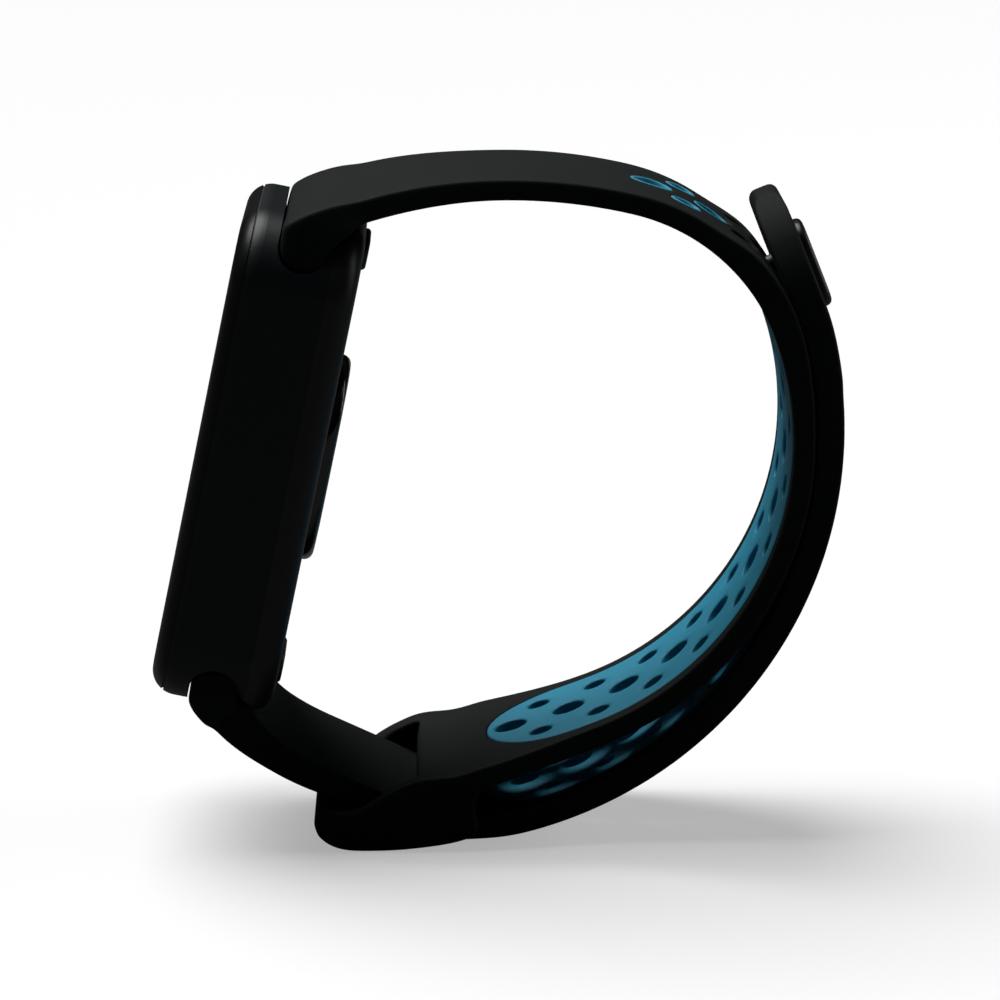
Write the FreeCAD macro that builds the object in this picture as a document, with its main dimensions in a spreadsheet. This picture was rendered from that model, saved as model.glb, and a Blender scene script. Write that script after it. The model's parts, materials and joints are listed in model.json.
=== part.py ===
import FreeCAD, Part
import math
import os
import Sketcher

# A fitness tracker on its two silicone straps, closed as a loop and standing on the loop.
#
# Row frame: +Z up, X from the tracker (left, -X) to the closure (right, +X), Y across the strap.
# The origin is the bottom centre of the whole object.
#
# Tracker frame: x from the front glass (-) to the wrist (+), y across, z along the case, with its
# origin at the centre of the case. The tracker leans in the row frame, so every tracker piece is
# drawn upright in the tracker frame and placed with the same lean.

Vector = FreeCAD.Vector
Placement = FreeCAD.Placement
Rotation = FreeCAD.Rotation

# alias, value (mm or degrees), meaning
SIZES = [
    ("case_length", 43.0, "tracker, end to end"),
    ("case_width", 25.0, "tracker, across"),
    ("case_depth", 10.6, "tracker, glass to back without the sensor bump"),
    ("case_corner", 6.0, "corner radius of the case seen from the front"),
    ("case_wall", 1.2, "side wall of the case"),
    ("glass_thickness", 1.1, "front glass"),
    ("front_round", 2.2, "rounding of the case edge at the glass"),
    ("tape_inset", 0.4, "adhesive ring inside the case outline"),
    ("tape_thickness", 0.15, "adhesive ring under the glass"),
    ("tape_width", 1.0, "adhesive ring across its line"),
    ("cover_depth", 2.4, "back cover, parting line to back"),
    ("cover_round", 1.7, "rounding of the back cover's edge"),
    ("seal_depth", 0.7, "back cover gasket, front to back"),
    ("seal_width", 0.8, "back cover gasket, across its line"),
    ("display_recess", 1.1, "depth of the display recess in the case"),
    ("cavity_length", 32.0, "main hollow of the case, along"),
    ("slot_radius", 2.1, "round floor of the strap slots"),
    ("slot_from_end", 2.0, "centre of the slot floor to the end of the case"),
    ("slot_offset", 0.2, "centre of the slot floor behind the middle of the case"),
    ("slot_flare", 4.6, "slot mouth's wrist side behind the middle of the case"),
    ("slot_clearance", 0.12, "strap root to slot, all round"),
    ("bump_length", 18.0, "sensor bump, along"),
    ("bump_width", 14.0, "sensor bump, across"),
    ("bump_height", 1.0, "sensor bump, proud of the back cover"),
    ("bump_seat", 1.2, "sensor window inside the back cover"),
    ("fit_gap", 0.05, "gap round an inset piece"),
    ("board_thickness", 0.8, "main board"),
    ("board_length", 31.0, "main board, along"),
    ("board_width", 20.8, "main board, across"),
    ("board_front", 2.9, "front face of the case to the front face of the main board"),
    ("battery_length", 16.5, "battery, along"),
    ("battery_width", 15.2, "battery, across"),
    ("battery_depth", 3.3, "battery, front to back"),
    ("motor_radius", 4.0, "vibration motor can"),
    ("motor_depth", 2.7, "vibration motor can, front to back"),
    ("motor_wall", 0.25, "vibration motor can wall"),
    ("shaft_radius", 0.4, "vibration motor shaft"),
    ("screw_radius", 0.55, "board screw shank"),
    ("screw_head_radius", 1.0, "board screw head"),
    ("button_length", 2.9, "release button, along the case"),
    ("button_width", 7.0, "release button, across"),
    ("button_depth", 1.7, "release button, front to back"),
    ("button_proud", 0.45, "release button above the back cover"),
    ("button_travel", 0.4, "release button travel"),
    ("button_from_end", 2.9, "release button centre to the end of the case"),
    ("spring_leaf", 0.2, "latch spring strip"),
    ("contact_radius", 0.9, "charging contact"),
    ("contact_spacing", 5.0, "charging contacts, centre to centre"),
    ("contact_from_end", 9.0, "charging contacts to the lower end of the case"),
    ("lean", 11.9, "lean of the tracker, in degrees"),
    ("tracker_across", -20.75, "centre of the tracker in the strap layout, across"),
    ("tracker_up", 5.05, "centre of the tracker in the strap layout, up"),
    ("layout_across", 0.382, "row origin to the layout's own, across"),
    ("layout_up", 28.6, "row origin to the layout's own, up"),
    ("root_width", 23.6, "strap at the tracker"),
    ("upper_width", 18.0, "upper strap"),
    ("upper_thickness", 1.9, "upper strap"),
    ("lower_width", 16.8, "lower strap"),
    ("lower_thickness", 2.4, "lower strap"),
    ("liner_depth", 0.9, "coloured liner, set into the strap's wrist side"),
    ("liner_margin", 1.7, "strap edge beside the liner"),
    ("crown_radius", 45.65, "upper strap over the top, wrist side"),
    ("crown_bare_turn", 19.0, "part of it without a liner, in degrees"),
    ("crown_lined_turn", 9.65, "part of it with a liner, in degrees"),
    ("shoulder_radius", 17.1, "upper strap at the closure, wrist side"),
    ("shoulder_turn", 58.1, "the same, in degrees"),
    ("side_radius", 71.5, "upper strap below the closure"),
    ("side_turn", 0.6, "the same, in degrees"),
    ("sweep_radius", 26.2, "upper strap round the right side"),
    ("sweep_turn", 86.75, "the same, in degrees"),
    ("base_radius", 84.2, "upper strap along the bottom"),
    ("base_lined_turn", 6.65, "part of it with a liner, in degrees"),
    ("base_bare_turn", 4.35, "part of it without a liner, in degrees"),
    ("neck_radius", 24.0, "lower strap from the tracker down, outside"),
    ("neck_turn", 25.0, "the same, in degrees"),
    ("dive_length", 9.4, "lower strap through the loop"),
    ("foot_radius", 8.0, "lower strap turning flat on the floor, outside"),
    ("foot_turn", 27.8, "the same, in degrees"),
    ("foot_length", 2.7, "flat stretch on the floor"),
    ("heel_radius", 17.8, "lower strap leaving the floor, outside"),
    ("heel_turn", 12.2, "the same, in degrees"),
    ("outer_radius", 36.2, "lower strap round the right side, outside"),
    ("outer_turn", 72.5, "the same, in degrees"),
    ("rise_radius", 37.5, "lower strap up to the closure, outside"),
    ("rise_turn", 7.35, "part of it below the peel line, in degrees"),
    ("tip_turn", 8.1, "part of it on the tip, in degrees"),
    ("tip_bend_radius", 20.6, "bend under the closure, outside"),
    ("tip_bend_turn", 8.9, "the same, in degrees"),
    ("tip_length", 9.8, "straight end of the tip"),
    ("hole_pitch", 5.32, "strap holes, centre to centre"),
    ("hole_radius", 1.45, "middle row of strap holes"),
    ("small_hole_radius", 1.0, "side rows of strap holes"),
    ("row_spacing", 4.15, "side rows to the middle row"),
    ("first_hole", 24.3, "start of the upper strap's line to its first hole"),
    ("first_lower_hole", 4.3, "start of the lower strap's liner to its first hole"),
    ("root_overlap", 0.6, "how far a strap's root runs into its band"),
    ("loop_width", 21.4, "loop at the end of the upper strap"),
    ("loop_window", 17.2, "window through the loop, across"),
    ("plate_length", 7.8, "closure plate, along"),
    ("plate_width", 5.2, "closure plate, across"),
    ("plate_thickness", 0.9, "closure plate"),
    ("closure_from_end", 6.5, "closure peg to the end of the tip"),
    ("plate_drop", 1.1, "closure plate's centre below its peg"),
    ("peg_radius", 0.9, "closure peg at its root"),
    ("peg_end_radius", 0.6, "closure peg at its end"),
    ("peg_length", 2.6, "closure peg beyond the strap"),
    ("core_radius", 0.8, "stiffening bar in a strap root"),
    ("core_length", 20.0, "stiffening bar in a strap root"),
]

doc = FreeCAD.newDocument("fitness_tracker_band")
sheet = doc.addObject("Spreadsheet::Sheet", "Sizes")
for row, (alias, value, meaning) in enumerate(SIZES, start=1):
    sheet.set(f"A{row}", meaning)
    sheet.set(f"B{row}", str(value))
    sheet.setAlias(f"B{row}", alias)
doc.recompute()


def size(alias):
    return float(sheet.get(alias))


def bind(thing, property_name, formula):
    """Binds a property to a formula whose words are aliases of the sheet."""
    words = []
    for word in formula.replace("(", " ( ").replace(")", " ) ").split():
        words.append(f"Sizes.{word}" if word[0].isalpha() and word != "deg" else word)
    thing.setExpression(property_name, " ".join(words))


# ---------------------------------------------------------------- places

row_shift = Placement(Vector(size("layout_across"), 0, size("layout_up")), Rotation())
tracker_centre = Vector(size("tracker_across"), 0, size("tracker_up"))
tracker_place = row_shift.multiply(
    Placement(tracker_centre, Rotation(Vector(0, 1, 0), size("lean")))
)
half_length = size("case_length") / 2
half_depth = size("case_depth") / 2
glass_back = size("glass_thickness") - half_depth
case_front = glass_back + size("tape_thickness")
parting = half_depth - size("cover_depth")
slot_height = half_length - size("slot_from_end")

parts = []


def keep(thing, label, place=None):
    """Registers a finished sub-part under its node name."""
    thing.Label = label
    if place is not None:
        thing.Placement = place
    parts.append(thing)
    return thing


def in_tracker(x, y, z, turn=None):
    return tracker_place.multiply(Placement(Vector(x, y, z), turn or Rotation()))


# ---------------------------------------------------------------- sketches and features

def new_body(name):
    return doc.addObject("PartDesign::Body", name)


def new_sketch(body, name, role, offset=None):
    """A sketch on one of the body's own origin planes, moved by an offset in the plane's frame."""
    sketch = body.newObject("Sketcher::SketchObject", name)
    plane = next(f for f in body.Origin.OriginFeatures if f.Role == role)
    sketch.AttachmentSupport = (plane, [""])
    sketch.MapMode = "FlatFace"
    if offset is not None:
        sketch.AttachmentOffset = offset
    return sketch


def fix_point(sketch, geometry, end, across, up):
    """Pins one end of a line to the sketch's origin by two formulas."""
    for kind, formula in (("DistanceX", across), ("DistanceY", up)):
        index = sketch.addConstraint(Sketcher.Constraint(kind, -1, 1, geometry, end, 0.0))
        bind(sketch, f"Constraints[{index}]", formula)


def draw_outline(sketch, corners):
    """A closed outline of straight lines through corners given as pairs of formulas."""
    count = len(corners)
    for i in range(count):
        start = math.tau * i / count
        end = math.tau * (i + 1) / count
        line = Part.LineSegment(
            Vector(math.cos(start), math.sin(start), 0), Vector(math.cos(end), math.sin(end), 0)
        )
        sketch.addGeometry(line, False)
    for i in range(count):
        sketch.addConstraint(Sketcher.Constraint("Coincident", i, 2, (i + 1) % count, 1))
    for i, (across, up) in enumerate(corners):
        fix_point(sketch, i, 1, across, up)


def draw_rectangle(sketch, width, height):
    """A rectangle centred on the sketch's origin, sides given as formulas."""
    half_w, half_h = f"( {width} ) / 2", f"( {height} ) / 2"
    draw_outline(sketch, [
        (f"0 - {half_w}", f"0 - {half_h}"),
        (half_w, f"0 - {half_h}"),
        (half_w, half_h),
        (f"0 - {half_w}", half_h),
    ])


def add_extrusion(body, kind, name, sketch, length, both_ways=False, reverse=False):
    """A Pad or a Pocket; a Pocket must take material away."""
    before = body.Shape.Volume if kind == "PartDesign::Pocket" else None
    feature = body.newObject(kind, name)
    feature.Profile = sketch
    bind(feature, "Length", length)
    feature.Midplane = both_ways
    feature.Reversed = reverse
    doc.recompute()
    if before is not None and body.Shape.Volume >= before - 1e-6:
        raise RuntimeError(f"{name} cuts nothing")
    return feature


def round_edges(body, name, radius, chosen):
    """A fillet on the edges of the body's last feature that chosen(edge) accepts."""
    base = body.Tip
    edges = [f"Edge{i}" for i, edge in enumerate(base.Shape.Edges, start=1) if chosen(edge)]
    feature = body.newObject("PartDesign::Fillet", name)
    feature.Base = (base, edges)
    bind(feature, "Radius", radius)
    doc.recompute()
    return feature


def runs_along(axis):
    def chosen(edge):
        if not isinstance(edge.Curve, Part.Line):
            return False
        return abs(edge.tangentAt(edge.FirstParameter).dot(axis)) > 0.999
    return chosen


def lies_at(x):
    def chosen(edge):
        box = edge.BoundBox
        return abs(box.XMin - x) < 1e-4 and abs(box.XMax - x) < 1e-4
    return chosen


def rounded_slab(body, name, width, height, corner, front, depth):
    """A flat piece seen from the front as a rounded rectangle, from front towards the wrist."""
    sketch = new_sketch(body, f"{name}_outline", "YZ_Plane", Placement(Vector(0, 0, front), Rotation()))
    draw_rectangle(sketch, width, height)
    add_extrusion(body, "PartDesign::Pad", f"{name}_pad", sketch, depth)
    round_edges(body, f"{name}_corners", corner, runs_along(Vector(1, 0, 0)))


def slab_tool(name, width, height, corner, front, depth):
    """A rounded slab of its own, to be taken out of another piece."""
    body = new_body(name)
    rounded_slab(body, name, width, height, corner, front, depth)
    return body


def solid_block(label, sizes, centre):
    """A plain block of the tracker's inside: sizes as formulas (x, y, z), centre in its frame."""
    box = doc.addObject("Part::Box", label)
    for property_name, formula in zip(("Length", "Width", "Height"), sizes):
        bind(box, property_name, formula)
    doc.recompute()
    corner = Vector(
        centre[0] - box.Length.Value / 2,
        centre[1] - box.Width.Value / 2,
        centre[2] - box.Height.Value / 2,
    )
    return box, corner


def kept_block(label, sizes, centre):
    box, corner = solid_block(label, sizes, centre)
    return keep(box, label, in_tracker(corner.x, corner.y, corner.z))


def rod(name, radius, length, base, direction, end_radius=None):
    """A cylinder, or a cone when it has an end radius, from base along direction."""
    kind = "Part::Cylinder" if end_radius is None else "Part::Cone"
    piece = doc.addObject(kind, name)
    if end_radius is None:
        bind(piece, "Radius", radius)
    else:
        bind(piece, "Radius1", radius)
        bind(piece, "Radius2", end_radius)
    bind(piece, "Height", length)
    piece.Placement = Placement(base, Rotation(Vector(0, 0, 1), direction))
    return piece


def fuse(name, pieces):
    joined = doc.addObject("Part::MultiFuse", name)
    joined.Shapes = pieces
    return joined


def cut(name, base, tool):
    result = doc.addObject("Part::Cut", name)
    result.Base = base
    result.Tool = tool
    return result


def group(name, pieces):
    """Separate solids of one kind kept together as one node."""
    compound = doc.addObject("Part::Compound", name)
    compound.Links = pieces
    return compound


X_AXIS = Vector(1, 0, 0)
Y_AXIS = Vector(0, 1, 0)
Z_AXIS = Vector(0, 0, 1)


# ---------------------------------------------------------------- tracker shell

def slot_tool(name, end, clearance):
    """The strap slot's hollow at the upper (end = 1) or lower (end = -1) end, right across."""
    body = new_body(name)
    sketch = new_sketch(body, f"{name}_outline", "XZ_Plane")
    side = "" if end > 0 else "0 - "
    floor = "( case_length / 2 - slot_from_end )"
    mouth = "( case_length / 2 + 1 )"
    front = f"slot_offset - slot_radius + {clearance}"
    draw_outline(sketch, [
        (front, f"{side}{floor}"),
        (f"slot_offset + slot_radius - {clearance}", f"{side}{floor}"),
        (f"slot_flare - {clearance}", f"{side}( case_length / 2 - 0.2 )"),
        (f"slot_flare - {clearance}", f"{side}{mouth}"),
        (front, f"{side}{mouth}"),
    ])
    add_extrusion(body, "PartDesign::Pad", f"{name}_pad", sketch, "case_width * 2", both_ways=True)
    floor_round = rod(
        f"{name}_floor", f"slot_radius - {clearance}", "case_width * 2",
        Vector(size("slot_offset"), -size("case_width"), end * slot_height), Y_AXIS,
    )
    return fuse(f"{name}_hollow", [body, floor_round])


def case_slice(name, front, depth):
    """The layer of the case's outer shape from front towards the wrist; both its edges are rounded."""
    whole = new_body(f"{name}_whole")
    rounded_slab(whole, f"{name}_whole", "case_width", "case_length", "case_corner", -half_depth, "case_depth")
    round_edges(whole, f"{name}_front", "front_round", lies_at(-half_depth))
    round_edges(whole, f"{name}_back", "cover_round", lies_at(half_depth))
    layer, corner = solid_block(
        f"{name}_layer", (depth, "case_width * 2", "case_length * 2"), (0, 0, 0)
    )
    layer.Placement.Base = Vector(front, corner.y, corner.z)
    sliced = doc.addObject("Part::MultiCommon", name)
    sliced.Shapes = [whole, layer]
    return sliced


def make_front_glass():
    keep(case_slice("glass_slice", -half_depth, "glass_thickness"), "front_glass", tracker_place)


def make_glass_tape():
    body = new_body("tape_body")
    rounded_slab(
        body, "tape", "case_width - 2 * tape_inset", "case_length - 2 * tape_inset",
        "case_corner - tape_inset", glass_back, "tape_thickness",
    )
    window = slab_tool(
        "tape_window", "case_width - 2 * tape_inset - 2 * tape_width",
        "case_length - 2 * tape_inset - 2 * tape_width",
        "case_corner - tape_inset - tape_width", glass_back - 1, "tape_thickness + 2",
    )
    keep(cut("tape_cut", body, window), "glass_adhesive_ring", tracker_place)


def make_case_frame():
    shell = case_slice("case_shell", case_front, "case_depth - glass_thickness - tape_thickness - cover_depth")
    recess = slab_tool(
        "display_opening", "case_width - 2 * case_wall - 1", "case_length - 2 * case_wall - 1",
        "case_corner - case_wall - 0.5", case_front - 1, "display_recess + 1",
    )
    hollow = slab_tool(
        "main_hollow", "case_width - 2 * case_wall", "cavity_length", "case_wall", case_front, "case_depth",
    )
    slots = fuse("case_slots", [slot_tool("upper_slot", 1, "0"), slot_tool("lower_slot", -1, "0")])
    keep(cut("case_frame_cut", shell, fuse("case_tools", [recess, hollow, slots])), "case_frame", tracker_place)
    return slots


def button_spot(end):
    return end * (half_length - size("button_from_end"))


def make_back_cover(slots):
    shell = case_slice("cover_shell", parting, "cover_depth")
    seat = new_body("sensor_opening")
    rounded_slab(
        seat, "sensor_opening", "bump_width + 2 * fit_gap", "bump_length + 2 * fit_gap",
        "bump_width / 2 - 0.5", parting - 1, "cover_depth + 2",
    )
    tools = [slots, seat]
    for end, word in ((1, "upper"), (-1, "lower")):
        well, corner = solid_block(
            f"{word}_button_well",
            ("button_depth + button_travel + spring_leaf + 0.1 + 1", "button_width + 4 * fit_gap",
             "button_length + 4 * fit_gap"),
            (0, 0, button_spot(end)),
        )
        floor = half_depth + size("button_proud") - size("button_depth")
        floor -= size("button_travel") + size("spring_leaf") + 0.1
        well.Placement.Base = Vector(floor, corner.y, corner.z)
        tools.append(well)
    insulator, corner = solid_block(
        "contact_opening", ("cover_depth + 2", "contact_spacing + 3.6 + 2 * fit_gap", "3 + 2 * fit_gap"),
        (parting + 1, 0, size("contact_from_end") - half_length),
    )
    insulator.Placement.Base = corner
    tools.append(insulator)
    keep(cut("back_cover_cut", shell, fuse("cover_tools", tools)), "back_cover", tracker_place)


def make_cover_seal():
    """A flat gasket that lies against the inside of the case wall at the parting line."""
    outer = slab_tool(
        "seal_outer", "case_width - 2 * case_wall - 2 * fit_gap", "cavity_length - 2 * fit_gap",
        "case_wall", parting - size("seal_depth"), "seal_depth",
    )
    inner = slab_tool(
        "seal_inner", "case_width - 2 * case_wall - 2 * seal_width", "cavity_length - 2 * seal_width",
        "case_wall / 2", parting - 2 * size("seal_depth"), "3 * seal_depth",
    )
    keep(cut("seal_cut", outer, inner), "back_cover_seal", tracker_place)


def make_sensor_window():
    body = new_body("window_body")
    rounded_slab(
        body, "window", "bump_width", "bump_length", "bump_width / 2 - 0.5",
        half_depth - size("bump_seat"), "bump_seat + bump_height",
    )
    round_edges(body, "window_edge", "bump_height * 0.8", lies_at(half_depth + size("bump_height")))
    keep(body, "sensor_window", tracker_place)


# ---------------------------------------------------------------- tracker inside

board_front = size("board_front") - half_depth
board_back = board_front + size("board_thickness")
sensor_board_front = half_depth - size("bump_seat") - 1.45


def make_display():
    display_depth = 0.75
    kept_block(
        "display_panel", (f"{display_depth}", "case_width - 6.2", "case_length - 8"),
        (glass_back + display_depth / 2, 0, 0),
    )
    bracket_depth = 0.4
    bracket_x = glass_back + display_depth + 0.05 + bracket_depth / 2
    bracket, corner = solid_block(
        "bracket_plate", (f"{bracket_depth}", "case_width - 2 * case_wall - 1.4", "cavity_length + 1"),
        (bracket_x, 0, 0),
    )
    bracket.Placement.Base = corner
    keep(cut("bracket_cut", bracket, screw_holes("bracket")), "display_bracket", tracker_place)
    kept_block(
        "display_flex_cable", ("0.15", "8", "3.0"), (board_front - 0.1, 0, 3.0 - size("board_length") / 2)
    )


def screw_spots():
    across = size("board_width") / 2 - 1.6
    along = size("board_length") / 2 - 1.6
    return [(y, z) for y in (-across, across) for z in (-along, along)]


def screw_holes(word):
    holes = []
    for i, (y, z) in enumerate(screw_spots(), start=1):
        holes.append(rod(
            f"{word}_screw_hole_{i}", "screw_radius + 0.1", "case_depth",
            Vector(-half_depth, y, z), X_AXIS,
        ))
    return fuse(f"{word}_screw_holes", holes)


def make_main_board():
    board, corner = solid_block(
        "board_plate", ("board_thickness", "board_width", "board_length"),
        (board_front + size("board_thickness") / 2, 0, 0),
    )
    board.Placement.Base = corner
    keep(cut("board_cut", board, screw_holes("board")), "main_board", tracker_place)
    chips = [
        ("processor_chip", "0.9", "6", "6", -6.0, 6.5),
        ("memory_chip", "0.8", "5", "4", -5.0, 11.6),
        ("power_chip", "0.7", "3.4", "3.4", -0.6, 4.2),
        ("motion_sensor_chip", "0.7", "2.5", "3", -1.2, 9.5),
    ]
    for label, depth, across, along, y, z in chips:
        kept_block(label, (depth, across, along), (board_back + float(depth) / 2, y, z))
    kept_block("bluetooth_antenna", ("0.6", "9", "1.4"), (board_back + 0.3, 0, 14.6))


def make_board_screws():
    """Four screws through the board into the display bracket."""
    screws = []
    for i, (y, z) in enumerate(screw_spots(), start=1):
        head = rod(f"screw_head_{i}", "screw_head_radius", "0.5", Vector(board_back, y, z), X_AXIS)
        shank = rod(f"screw_shank_{i}", "screw_radius", "board_thickness + 0.6",
                    Vector(board_front - 0.6, y, z), X_AXIS)
        screws.append(fuse(f"screw_{i}", [head, shank]))
    keep(group("screws", screws), "board_screws", tracker_place)


battery_z = -6.6


def make_battery():
    pad = 0.15
    pad_x = board_back + pad / 2
    kept_block("battery_adhesive_pad", (f"{pad}", "battery_width - 4", "battery_length - 4"), (pad_x, 0, battery_z))
    cell, corner = solid_block(
        "battery_block", ("battery_depth", "battery_width", "battery_length"),
        (board_back + pad + size("battery_depth") / 2, 0, battery_z),
    )
    cell.Placement.Base = corner
    rounded = doc.addObject("Part::Fillet", "battery_rounded")
    rounded.Base = cell
    doc.recompute()
    side = runs_along(Z_AXIS)
    rounded.Edges = [(i, 0.9, 0.9) for i, edge in enumerate(cell.Shape.Edges, start=1) if side(edge)]
    keep(rounded, "battery_cell", tracker_place)
    kept_block(
        "battery_lead", ("0.4", "3", "1.6"),
        (board_back + 0.25, 5.5, battery_z + size("battery_length") / 2 + 0.95),
    )


motor_y, motor_z = 5.8, 9.0


def make_vibration_motor():
    """A coin motor: a can shut by the board, an off-centre weight and the shaft it turns on."""
    front = board_back + 0.05
    can = rod("can_outer", "motor_radius", "motor_depth", Vector(front, motor_y, motor_z), X_AXIS)
    hollow = rod("can_hollow", "motor_radius - motor_wall", "motor_depth - 2 * motor_wall",
                 Vector(front + size("motor_wall"), motor_y, motor_z), X_AXIS)
    keep(cut("can_cut", can, hollow), "vibration_motor_can", tracker_place)
    inner_front = front + size("motor_wall") + 0.03
    shaft = rod("shaft", "shaft_radius", "motor_depth - 2 * motor_wall - 0.06",
                Vector(inner_front, motor_y, motor_z), X_AXIS)
    shaft.Placement = tracker_place.multiply(shaft.Placement)
    keep(shaft, "vibration_motor_shaft")
    disc = rod("weight_disc", "motor_radius - motor_wall - 0.3", "motor_depth - 2 * motor_wall - 0.8",
               Vector(inner_front + 0.4, motor_y, motor_z), X_AXIS)
    bore = rod("weight_bore", "shaft_radius", "motor_depth",
               Vector(front, motor_y, motor_z), X_AXIS)
    half, corner = solid_block("weight_cutoff", ("motor_depth", "motor_radius * 2", "motor_radius"),
                               (front + size("motor_depth") / 2, motor_y, motor_z))
    corner.z = motor_z + size("shaft_radius") + 0.4
    half.Placement.Base = corner
    keep(cut("weight_cut", disc, fuse("weight_tools", [bore, half])), "vibration_motor_rotor", tracker_place)


def make_sensor_stack():
    """Sensor board, light barrier, emitters and detectors behind the sensor window."""
    kept_block("sensor_board", ("0.5", "10", "13"), (sensor_board_front + 0.25, 0, 0))
    floor = sensor_board_front + 0.5
    depth = 0.9
    barrier, corner = solid_block("barrier_block", (f"{depth}", "10", "13"), (floor + depth / 2, 0, 0))
    barrier.Placement.Base = corner
    spots = {"emitter": (1.6, [(-2.6, 0), (2.6, 0)]), "detector": (2.6, [(0, -4.2), (0, 4.2)])}
    wells = []
    for word, (side, places) in spots.items():
        chips = []
        for i, (y, z) in enumerate(places, start=1):
            well, corner = solid_block(f"{word}_well_{i}", ("3", f"{side} + 0.4", f"{side} + 0.4"), (floor, y, z))
            well.Placement.Base = corner
            wells.append(well)
            chip, corner = solid_block(f"{word}_{i}", ("0.5", f"{side}", f"{side}"), (floor + 0.25, y, z))
            chip.Placement.Base = corner
            chips.append(chip)
        label = "sensor_leds" if word == "emitter" else "photodiodes"
        keep(group(f"{word}_group", chips), label, tracker_place)
    keep(cut("barrier_cut", barrier, fuse("barrier_wells", wells)), "sensor_barrier", tracker_place)
    kept_block("sensor_flex_cable", ("0.15", "5", "2.6"), (sensor_board_front - 0.1, 0, 5.5))


def make_charging_contacts():
    z = size("contact_from_end") - half_length
    block, corner = solid_block(
        "insulator_block", ("2", "contact_spacing + 3.6", "3"), (half_depth - 1, 0, z)
    )
    block.Placement.Base = corner
    pins = []
    bores = []
    for i, side in enumerate((-1, 1), start=1):
        y = side * size("contact_spacing") / 2
        base = Vector(half_depth - 2.4, y, z)
        pins.append(rod(f"contact_{i}", "contact_radius", "2.45", base, X_AXIS))
        bores.append(rod(f"contact_bore_{i}", "contact_radius + 0.02", "4", base, X_AXIS))
    keep(cut("insulator_cut", block, fuse("contact_bores", bores)), "contact_insulator", tracker_place)
    keep(group("contacts", pins), "charging_contacts", tracker_place)


def make_release(end, word):
    """A push button in the back cover over a strap slot, and the strip spring under it."""
    z = button_spot(end)
    top = half_depth + size("button_proud")
    button = new_body(f"{word}_button_body")
    rounded_slab(
        button, f"{word}_button", "button_width", "button_length", "button_length * 0.45",
        top - size("button_depth"), "button_depth",
    )
    round_edges(button, f"{word}_button_top", "button_proud * 0.8", lies_at(top))
    keep(button, f"{word}_release_button", in_tracker(0, 0, z))
    leaf_x = top - size("button_depth") - size("button_travel") - size("spring_leaf") / 2 - 0.05
    kept_block(
        f"{word}_latch_spring", ("spring_leaf", "button_width - 1", "button_length - 0.6"), (leaf_x, 0, z)
    )


# ---------------------------------------------------------------- strap lines

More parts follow.
